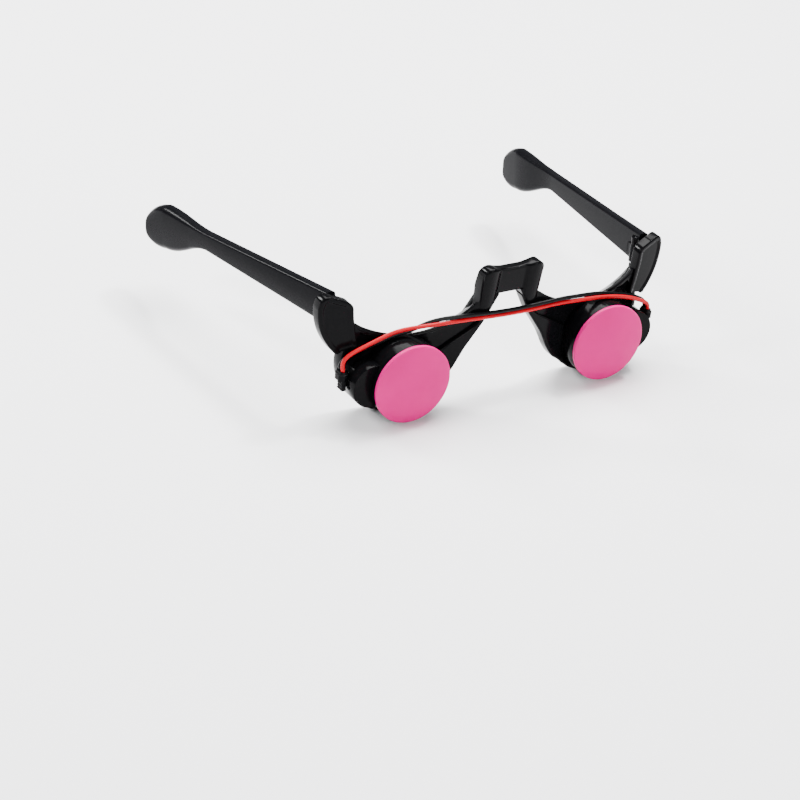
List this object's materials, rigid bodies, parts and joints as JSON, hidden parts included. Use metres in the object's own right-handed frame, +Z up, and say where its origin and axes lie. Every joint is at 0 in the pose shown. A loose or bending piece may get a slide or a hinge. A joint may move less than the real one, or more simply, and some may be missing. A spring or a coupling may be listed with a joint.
{
  "type": "led glasses",
  "caption": "Black half-rim glasses frame with folding arms, round pink-disc lamps in front of the eyes, a small slide switch and a red and a black wire across the bridge.",
  "frame": {"origin": "centre of the footprint at the lowest point of the rims", "axes": "+X towards the wearer's left, -Y the way the wearer looks (the discs face -Y and the arms run back along +Y), +Z up"},
  "size_m": [0.158, 0.1231, 0.0487],
  "materials": {
    "frame_black": "black injection-moulded plastic with a soft gloss",
    "arm_black": "black moulded plastic with a soft gloss and light wear",
    "pad_black": "soft matte black rubber",
    "housing_black": "fine-grained black plastic",
    "disc_pink": "smooth glossy pink diffuser plastic",
    "reflector_white": "smooth white plastic",
    "board_white": "white coated circuit board",
    "diode_clear": "clear resin",
    "tray_grey": "dark grey plastic",
    "cell_steel": "nickel-plated steel",
    "contact_brass": "bare sprung brass",
    "screw_steel": "plated steel",
    "switch_grey": "dark plastic",
    "knob_black": "ribbed black plastic",
    "gland_rubber": "matte black rubber",
    "wire_red": "smooth red insulation",
    "wire_black": "smooth black insulation"
  },
  "bodies": {
    "front": {"front_frame": "frame_black", "nose_pad": "pad_black", "hinge_screws": "screw_steel", "lamp_housing_left": "housing_black", "lamp_housing_right": "housing_black", "disc_left": "disc_pink", "disc_right": "disc_pink", "reflector_left": "reflector_white", "reflector_right": "reflector_white", "led_board_left": "board_white", "led_board_right": "board_white", "led_left": "diode_clear", "led_right": "diode_clear", "cell_tray_left": "tray_grey", "cell_tray_right": "tray_grey", "coin_cell_left": "cell_steel", "coin_cell_right": "cell_steel", "cell_contacts_left": "contact_brass", "cell_contacts_right": "contact_brass", "lamp_screws": "screw_steel", "switch_body": "switch_grey", "wire_gland_left": "gland_rubber", "wire_gland_right": "gland_rubber", "red_wire": "wire_red", "black_wire": "wire_black"},
    "left_arm": {"arm_left": "arm_black"},
    "right_arm": {"arm_right": "arm_black"},
    "knob": {"switch_knob": "knob_black"}
  },
  "joints": [
    {"name": "left_arm_hinge", "type": "hinge", "parent": "front", "child": "left_arm", "pos_m": [0.0612, -0.03954, 0.0373], "axis": [0, 0, 1], "range_deg": [0, 98]},
    {"name": "right_arm_hinge", "type": "hinge", "parent": "front", "child": "right_arm", "pos_m": [-0.0612, -0.03954, 0.0373], "axis": [0, 0, -1], "range_deg": [0, 86]},
    {"name": "switch_slide", "type": "slide", "parent": "front", "child": "knob", "axis": [0, 0, 1], "range_m": [-0.0016, 0]}
  ]
}
